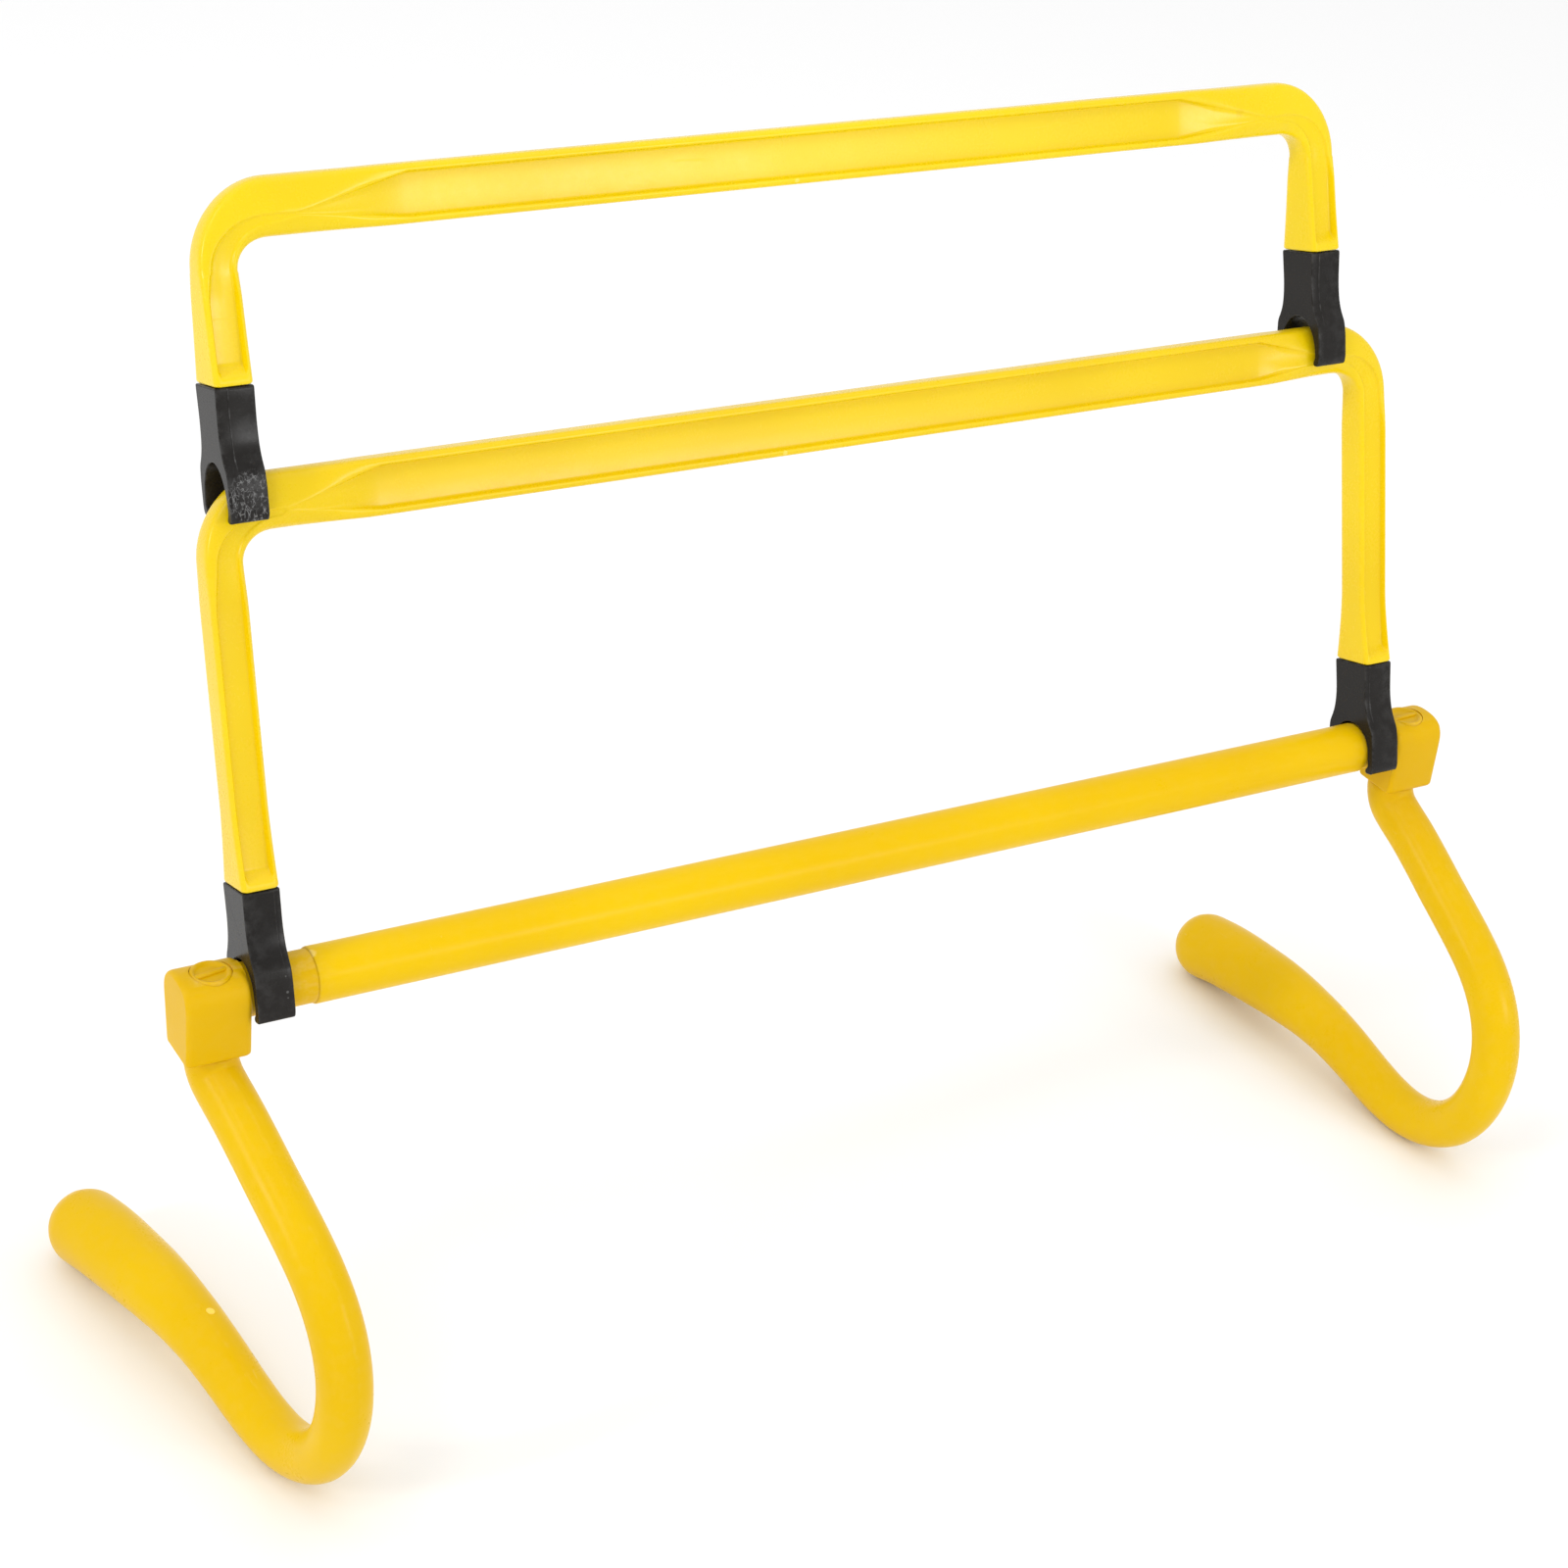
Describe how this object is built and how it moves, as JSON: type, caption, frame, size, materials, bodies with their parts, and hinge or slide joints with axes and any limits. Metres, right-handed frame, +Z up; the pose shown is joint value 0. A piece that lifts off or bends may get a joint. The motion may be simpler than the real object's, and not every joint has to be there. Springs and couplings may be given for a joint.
{
  "type": "agility hurdle",
  "caption": "Freestanding stepped hurdle for small dogs: a round crossbar on two bent swivelling legs, with two U-shaped rails stacked above it on black snap clips.",
  "frame": {"origin": "on the ground, under the middle of the overall box at rest", "axes": "+X along the crossbar towards the right-hand block as seen from the approach side, +Y to the rear (the side the frames lean to and the leg ends point to), +Z up"},
  "size_m": [0.5568, 0.1954, 0.4249],
  "materials": {
    "golden_plastic": "satin golden yellow moulded plastic",
    "lemon_plastic": "satin lemon yellow moulded plastic",
    "black_plastic": "satin black moulded plastic"
  },
  "bodies": {
    "base": {"crossbar_tube": "golden_plastic", "left_corner_block": "golden_plastic", "right_corner_block": "golden_plastic"},
    "left_leg_swivel": {"left_leg": "golden_plastic", "left_leg_retaining_plug": "golden_plastic"},
    "right_leg_swivel": {"right_leg": "golden_plastic", "right_leg_retaining_plug": "golden_plastic"},
    "middle_clips": {"middle_left_clip": "black_plastic", "middle_right_clip": "black_plastic"},
    "middle_rail": {"middle_frame": "lemon_plastic"},
    "upper_clips": {"upper_left_clip": "black_plastic", "upper_right_clip": "black_plastic"},
    "upper_rail": {"upper_frame": "lemon_plastic"}
  },
  "joints": [
    {"name": "left_leg_turn", "type": "hinge", "parent": "base", "child": "left_leg_swivel", "pos_m": [-0.2488, -0.00235, 0.147], "axis": [0, 0, 1], "range_deg": [-100, 80]},
    {"name": "right_leg_turn", "type": "hinge", "parent": "base", "child": "right_leg_swivel", "pos_m": [0.264, -0.00235, 0.147], "axis": [0, 0, 1], "range_deg": [-93, 87]},
    {"name": "middle_clips_tilt", "type": "hinge", "parent": "base", "child": "middle_clips", "pos_m": [0.0076, -0.00235, 0.1674], "axis": [1, 0, 0], "range_deg": [-70, 100]},
    {"name": "middle_frame_lift", "type": "slide", "parent": "middle_clips", "child": "middle_rail", "axis": [0, 0.279, 0.9603], "range_m": [0, 0.04]},
    {"name": "upper_clips_tilt", "type": "hinge", "parent": "middle_rail", "child": "upper_clips", "pos_m": [0.0076, 0.04315, 0.32403], "axis": [1, 0, 0], "range_deg": [-8, 8]},
    {"name": "upper_frame_lift", "type": "slide", "parent": "upper_clips", "child": "upper_rail", "axis": [0, 0.279, 0.9603], "range_m": [0, 0.04]}
  ]
}
